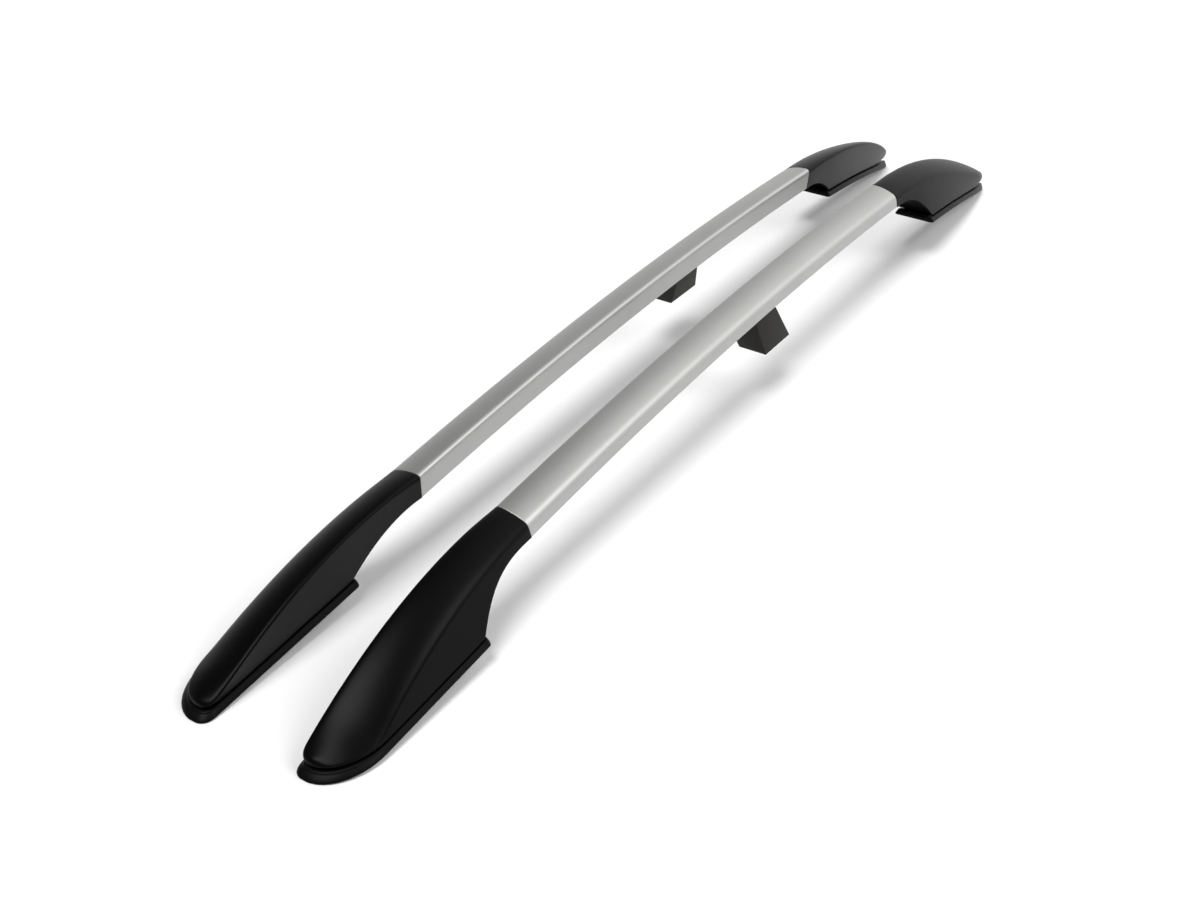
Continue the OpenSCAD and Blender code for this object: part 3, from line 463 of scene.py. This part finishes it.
# ABS with a spark-eroded mould grain of about half a millimetre: deep black with a low sheen that
# shows as speckle near the light
abs_black, tree, output, place = new_material("grained_black_abs")
grain = add_node(tree, "ShaderNodeTexNoise", [(place, "Vector")],
    Scale=1100.0, Detail=2.0, Roughness=0.6)
coarse = add_node(tree, "ShaderNodeTexNoise", [(place, "Vector")], Scale=14.0, Detail=2.0)
shade = add_node(tree, "ShaderNodeValToRGB", [(coarse.outputs["Fac"], "Fac")])
shade.color_ramp.elements[0].color = linear("#060607")
shade.color_ramp.elements[1].color = linear("#080709")
sheen = add_node(tree, "ShaderNodeMapRange", [(grain.outputs["Fac"], "Value")],
    To_Min=0.29, To_Max=0.37)
bump = add_node(tree, "ShaderNodeBump", [(grain.outputs["Fac"], "Height")],
    Strength=0.22, Distance=0.0003)
plastic = add_node(tree, "ShaderNodeBsdfPrincipled", [(shade.outputs[0], "Base Color"),
    (sheen.outputs[0], "Roughness"), (bump.outputs[0], "Normal")],
    IOR=1.5, Specular_IOR_Level=0.07)
tree.links.new(plastic.outputs[0], output.inputs["Surface"])

for foot in (rear, front):
    points, faces = shell_mesh(foot)
    for side, sign in (("left", 1), ("right", -1)):
        name = side + "_" + foot["name"] + "_shell"
        shell = make_piece(name + "_moulding", to_car(points, foot, sign), faces, abs_black, 28)
        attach(shell, "root")
        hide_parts(name)


# Pads: black rubber under the shells, with a soft flared lip that spreads on the roof and a plinth
# that reaches up into the shell. A dark gap stays between the lip and the shell's edge.
rubber, tree, output, place = new_material("moulded_black_rubber")
mottle = add_node(tree, "ShaderNodeTexNoise", [(place, "Vector")], Scale=60.0, Detail=4.0)
shade = add_node(tree, "ShaderNodeValToRGB", [(mottle.outputs["Fac"], "Fac")])
shade.color_ramp.elements[0].color = linear("#070708")
shade.color_ramp.elements[1].color = linear("#0B0A0B")
sheen = add_node(tree, "ShaderNodeMapRange", [(mottle.outputs["Fac"], "Value")],
    To_Min=0.38, To_Max=0.50)
bump = add_node(tree, "ShaderNodeBump", [(mottle.outputs["Fac"], "Height")],
    Strength=0.15, Distance=0.0003)
soft = add_node(tree, "ShaderNodeBsdfPrincipled", [(shade.outputs[0], "Base Color"),
    (sheen.outputs[0], "Roughness"), (bump.outputs[0], "Normal")],
    IOR=1.5, Specular_IOR_Level=0.1)
tree.links.new(soft.outputs[0], output.inputs["Surface"])

plinth_top = pad_h + shadow_gap + 3.0
end_upstand = 3.8
boss_x = 22.0
plate_v = 16.0
plate_start = 14.0
plate_len = 130.0
post_at = ((-48.0, 6.0), (50.0, 0.0))


def cut_hole(piece, place, axis, radius, length, count=48):
    """Cuts a round hole that starts at a place and runs along an axis, both in millimetres."""
    axis = np.array(axis) / np.linalg.norm(axis)
    side_axis = np.cross(axis, (1, 0, 0))
    side_axis /= np.linalg.norm(side_axis)
    turn = np.linspace(0, 2 * np.pi, count, endpoint=False)[:, None]
    ring = radius * (np.cos(turn) * side_axis + np.sin(turn) * np.cross(axis, side_axis))
    points = np.concatenate([place + ring, place + ring + axis * length])
    faces = grid_faces(2, count, True).tolist() + [list(range(count)), list(range(count, 2 * count))]
    cutter = make_piece("cutter", points, faces, piece.data.materials[0])
    cut = piece.modifiers.new("hole", "BOOLEAN")
    cut.object = cutter
    cut.solver = "EXACT"
    bpy.context.view_layer.objects.active = piece
    bpy.ops.object.modifier_apply(modifier="hole")
    bpy.data.objects.remove(cutter)


def pad_profile():
    """Skirt and plinth as rows of (inset from the shell's outline, height over the underside). The
    skirt has rounded edges, and is a little hollow between them."""
    t = np.linspace(0, np.pi / 2, 6)
    low = np.column_stack([-pad_ledge + lip_in * (1 - np.sin(t)), lip_in * (1 - np.cos(t))])
    share = np.linspace(0, 1, 7)[1:, None]
    skirt = low[-1] + (np.array([-0.9, pad_h - 1.1]) - low[-1]) * share ** np.array([1.25, 0.95])
    upper = np.column_stack([-0.9 + 1.5 * (1 - np.cos(t)), pad_h - 1.1 + 1.1 * np.sin(t)])[1:]
    top = np.array([[2, pad_h], [plinth_inset - 0.6, pad_h], [plinth_inset, pad_h + 0.6],
        [plinth_inset, plinth_top - 0.6], [plinth_inset + 0.6, plinth_top]])
    return np.concatenate([low, skirt, upper, top])


def pad_outline(foot, level, count=90, corner=7, corner_r=5.5):
    """Plan outline at one level: out along the outer side to the tip and back on the inner side.
    The inner end is straight, and its two corners are quarter ellipses."""
    inset, height = level
    if height < lip_in:
        start = foot["corner"] + inset + pad_ledge
    elif inset < 1:
        start = foot["corner"] + 4 * (height / pad_h) ** 4
    else:
        start = foot["corner"] + pad_ledge * 1.6 + corner_ledge * inset / plinth_inset * 0.75
    end = tip_x(foot, inset)
    x = start + corner_r + (end - start - corner_r) * np.sin(np.pi / 2 * np.linspace(0, 1, count))
    t = np.linspace(0, np.pi / 2, corner + 1)[:-1]
    cx = start + corner_r * (1 - np.cos(t))
    cut = corner_r * (1 - np.sin(t))
    xs = np.concatenate([cx, x])
    vo = np.concatenate([side_out(foot, cx, inset) - cut, side_out(foot, x, inset)])
    vi = np.concatenate([side_in(foot, cx, inset) + cut, side_in(foot, x, inset)])
    lift = 1 + foot["tip_extra"] / pad_h * np.maximum(0, pad_share(foot, xs)) ** 6
    near_end = np.clip((foot["corner"] + corner_ledge + 0.5 - xs) / 3, 0, 1)
    upstand = (height / pad_h) ** 3 * end_upstand * near_end ** 2 * (3 - 2 * near_end)
    z = np.maximum(0, base_z(foot, xs) + height * lift + upstand)
    return np.concatenate([np.column_stack([xs, vo, z]), np.column_stack([xs, vi, z])[::-1]])


def pad_mesh(foot):
    """Outlines stacked over the profile, with strips across for the underside and the top."""
    rings = np.stack([pad_outline(foot, level) for level in pad_profile()])
    rows, columns = rings.shape[:2]
    faces = grid_faces(rows, columns, True).tolist()
    j = np.arange(columns // 2 - 1)
    strip = np.stack([j, j + 1, columns - 2 - j, columns - 1 - j], axis=-1)
    faces += strip.tolist() + (strip + (rows - 1) * columns)[:, ::-1].tolist()
    return rings.reshape(-1, 3), faces


for foot in (rear, front):
    points, faces = pad_mesh(foot)
    for side, sign in (("left", 1), ("right", -1)):
        name = side + "_" + foot["name"] + "_pad"
        pad = make_piece(name + "_rubber", to_car(points, foot, sign), faces, rubber, 40)
        plate_x = foot["corner"] + plate_start + plate_len / 2
        fall = (base_z(foot, plate_x + 1) - base_z(foot, plate_x - 1)) / 2
        level = np.array([foot["way"], 0, fall]) / np.hypot(1, fall)
        up = np.array([-foot["way"] * fall, 0, 1]) / np.hypot(1, fall)
        start = to_car([plate_x, plate_v, base_z(foot, plate_x)], foot, sign)[0]
        for along, across, radius in ((boss_x, 0, 7.5), (*post_at[0], 4.6), (*post_at[1], 4.6)):
            hole = start + level * along + np.array([0, sign * across, 0]) - up * 5
            cut_hole(pad, hole, up, radius, pad_h + 6)
        pad.data.polygons.foreach_set("use_smooth", np.ones(len(pad.data.polygons), bool))
        pad.data.set_sharp_from_angle(angle=np.radians(40))
        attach(pad, "root")
        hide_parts(name)


# Support blocks: dense rubber wedges, one under the middle of each rail. Each hangs on a channel
# nut and leans forward and outward, with crisp edges.
block_rubber, tree, output, place = new_material("dense_block_rubber")
speck = add_node(tree, "ShaderNodeTexNoise", [(place, "Vector")], Scale=420.0, Detail=3.0)
shade = add_node(tree, "ShaderNodeValToRGB", [(speck.outputs["Fac"], "Fac")])
shade.color_ramp.elements[0].color = linear("#171613")
shade.color_ramp.elements[1].color = linear("#1F1E1A")
bump = add_node(tree, "ShaderNodeBump", [(speck.outputs["Fac"], "Height")],
    Strength=0.25, Distance=0.0003)
dense = add_node(tree, "ShaderNodeBsdfPrincipled", [(shade.outputs[0], "Base Color"),
    (bump.outputs[0], "Normal")], Roughness=0.62, IOR=1.5, Specular_IOR_Level=0.25)
tree.links.new(dense.outputs[0], output.inputs["Surface"])
left_block_x = 600.0
right_block_x = 541.0
block_top_len = 60.0
block_base_len = 73.0
block_rake = 14.0
block_h = 49.0
block_base_in = 7.0
block_base_out = 36.0
block_seat_t = 14.0
block_edge = 1.0


def under_z(x):
    """Height of the rail's outer lower edge: apex - R + the square root of R^2 - (x - apex_x)^2."""
    return apex_z - bow_r + np.sqrt(bow_r ** 2 - (x - apex_x) ** 2)


def block_corners(x0):
    """Eight corners: the base first, then the top along the rail's underside, 0.1 mm below it."""
    low = under_z(x0 + block_top_len / 2) - block_h - under_drop / 2
    b0, b1 = x0 + block_rake, x0 + block_rake + block_base_len
    w = rail_w / 2
    base = [(b0, -block_base_in, low), (b1, -block_base_in, low), (b1, block_base_out, low),
        (b0, block_base_out, low)]
    top = [(x, v, under_z(x) - under_drop / rail_w * (w - v) - 0.1)
        for x, v in ((x0, -w), (x0 + block_top_len, -w), (x0 + block_top_len, w), (x0, w))]
    return np.array(base + top)


for side, sign, x0 in (("left", 1, left_block_x), ("right", -1, right_block_x)):
    corners = block_corners(rear_joint["x"] + x0)
    placed = (corners + [0, rail_spacing / 2, 0]) * [1, sign, 1]
    faces = [(0, 1, 2, 3), (4, 7, 6, 5), (0, 4, 5, 1), (1, 5, 6, 2), (2, 6, 7, 3), (3, 7, 4, 0)]
    block = make_piece(side + "_block_wedge", placed, faces, block_rubber)
    edges = block.modifiers.new("soft edges", "BEVEL")
    edges.width = block_edge * MM
    edges.segments = 3
    bpy.context.view_layer.objects.active = block
    bpy.ops.object.modifier_apply(modifier="soft edges")
    middle_x = rear_joint["x"] + x0 + block_top_len / 2 + 4
    tilt = np.arctan(under_drop / rail_w)
    slope = np.arcsin((middle_x - apex_x) / bow_r)
    up = np.array([np.sin(slope), -sign * np.sin(tilt), np.cos(tilt) * np.cos(slope)])
    seat = np.array([middle_x, sign * rail_spacing / 2, under_z(middle_x) - under_drop / 2])
    cut_hole(block, seat - up * (block_seat_t + 98), up, 6.2, 98)
    cut_hole(block, seat - up * (block_seat_t + 2), up, 3.1, 40)
    block.data.polygons.foreach_set("use_smooth", np.ones(len(block.data.polygons), bool))
    block.data.set_sharp_from_angle(angle=np.radians(32))
    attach(block, "root")
    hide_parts(side + "_support_block")


# Brackets: cast aluminium inside each foot, with a spigot in the rail and a base plate on the pad.
# They show through the pad's openings from below, and they keep their CAD bodies.
cast, tree, output, place = new_material("cast_bracket_aluminium")
sand = add_node(tree, "ShaderNodeTexNoise", [(place, "Vector")], Scale=500.0, Detail=4.0)
shade = add_node(tree, "ShaderNodeValToRGB", [(sand.outputs["Fac"], "Fac")])
shade.color_ramp.elements[0].color = linear("#8E8F90")
shade.color_ramp.elements[1].color = linear("#A5A6A7")
bump = add_node(tree, "ShaderNodeBump", [(sand.outputs["Fac"], "Height")],
    Strength=0.3, Distance=0.0004)
rough = add_node(tree, "ShaderNodeBsdfPrincipled", [(shade.outputs[0], "Base Color"),
    (bump.outputs[0], "Normal")], Metallic=1.0, Roughness=0.52)
tree.links.new(rough.outputs[0], output.inputs["Surface"])

# Fixings: turned steel bushes, screws and channel nuts, zinc plated, which leaves them a little hazy
zinc, tree, output, place = new_material("bright_zinc_plated_steel")
haze = add_node(tree, "ShaderNodeTexNoise", [(place, "Vector")], Scale=700.0, Detail=3.0)
shade = add_node(tree, "ShaderNodeValToRGB", [(haze.outputs["Fac"], "Fac")])
shade.color_ramp.elements[0].color = linear("#A3A6A8")
shade.color_ramp.elements[1].color = linear("#B9BBBA")
shine = add_node(tree, "ShaderNodeMapRange", [(haze.outputs["Fac"], "Value")],
    To_Min=0.25, To_Max=0.36)
plate = add_node(tree, "ShaderNodeBsdfPrincipled", [(shade.outputs[0], "Base Color"),
    (shine.outputs[0], "Roughness")], Metallic=1.0)
tree.links.new(plate.outputs[0], output.inputs["Surface"])
for name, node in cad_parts.items():
    if "bracket" in name:
        node.material_slots[0].material = cast
    if "insert" in name or "screw" in name or "nut" in name:
        node.material_slots[0].material = zinc


# Floor and light: a plain white floor that keeps the soft shadows, one wide soft lamp overhead, a
# weaker one high on the right, and a world that is bright low towards the front, has a pale patch
# above that and is nearly dark elsewhere.
floor_mesh = bpy.data.meshes.new("floor")
floor_mesh.from_pydata([(-60, -60, 0), (60, -60, 0), (60, 60, 0), (-60, 60, 0)], [], [(0, 1, 2, 3)])
floor = bpy.data.objects.new("floor", floor_mesh)
bpy.context.scene.collection.objects.link(floor)
white, tree, output, place = new_material("white_studio_floor")
paint = add_node(tree, "ShaderNodeBsdfDiffuse", Color=linear("#F6F5F6"))
glow = add_node(tree, "ShaderNodeEmission", Color=(1, 1, 1, 1), Strength=0.08)
ray = add_node(tree, "ShaderNodeLightPath")
direct = add_node(tree, "ShaderNodeMath", [(ray.outputs["Is Camera Ray"], 0),
    (ray.outputs["Is Glossy Ray"], 1)], operation="MAXIMUM")
seen = add_node(tree, "ShaderNodeMath", [(direct.outputs[0], 0),
    (ray.outputs["Is Transmission Ray"], 1)], operation="MAXIMUM")
none = add_node(tree, "ShaderNodeEmission", Strength=0.0)
lit = add_node(tree, "ShaderNodeMixShader",
    [(seen.outputs[0], 0), (none.outputs[0], 1), (glow.outputs[0], 2)])
both = add_node(tree, "ShaderNodeAddShader", [(paint.outputs[0], 0), (lit.outputs[0], 1)])
tree.links.new(both.outputs[0], output.inputs["Surface"])
floor_mesh.materials.append(white)

world = bpy.data.worlds.new("studio")
world.use_nodes = True
bpy.context.scene.world = world
tree = world.node_tree
tree.nodes.clear()
output = tree.nodes.new("ShaderNodeOutputWorld")
direction = tree.nodes.new("ShaderNodeTexCoord").outputs["Generated"]
horizon = add_node(tree, "ShaderNodeVectorMath", [(direction, 0)], operation="DOT_PRODUCT")
horizon.inputs[1].default_value = (0.857, 0.0, -0.514)
band = add_node(tree, "ShaderNodeMapRange", [(horizon.outputs["Value"], "Value")],
    From_Min=-0.05, From_Max=0.55, To_Min=0.06, To_Max=1.0)
window = add_node(tree, "ShaderNodeVectorMath", [(direction, 0)], operation="DOT_PRODUCT")
window.inputs[1].default_value = (0.62, -0.35, 0.70)
patch = add_node(tree, "ShaderNodeMapRange", [(window.outputs["Value"], "Value")],
    From_Min=0.80, From_Max=0.97, To_Min=0.0, To_Max=1.0)
total = add_node(tree, "ShaderNodeMath", [(band.outputs[0], 0), (patch.outputs[0], 1)], operation="ADD")
sky = add_node(tree, "ShaderNodeBackground", [(total.outputs[0], "Strength")], Color=linear("#FFFFFF"))
tree.links.new(sky.outputs[0], output.inputs["Surface"])


def wide_lamp(name, towards, width, strength):
    """Distant lamp in a direction from the object, with its width in degrees as seen from there."""
    data = bpy.data.lights.new(name, "SUN")
    data.energy = strength
    data.angle = np.radians(width)
    lamp = bpy.data.objects.new(name, data)
    lamp.rotation_euler = Vector(towards).to_track_quat("Z", "Y").to_euler()
    bpy.context.scene.collection.objects.link(lamp)


wide_lamp("overhead_lamp", (-0.35, 0.04, 0.94), 28, 2.05)
wide_lamp("side_lamp", (0.28, -0.68, 0.68), 26, 0.9)

bpy.context.scene.view_settings.view_transform = "Standard"
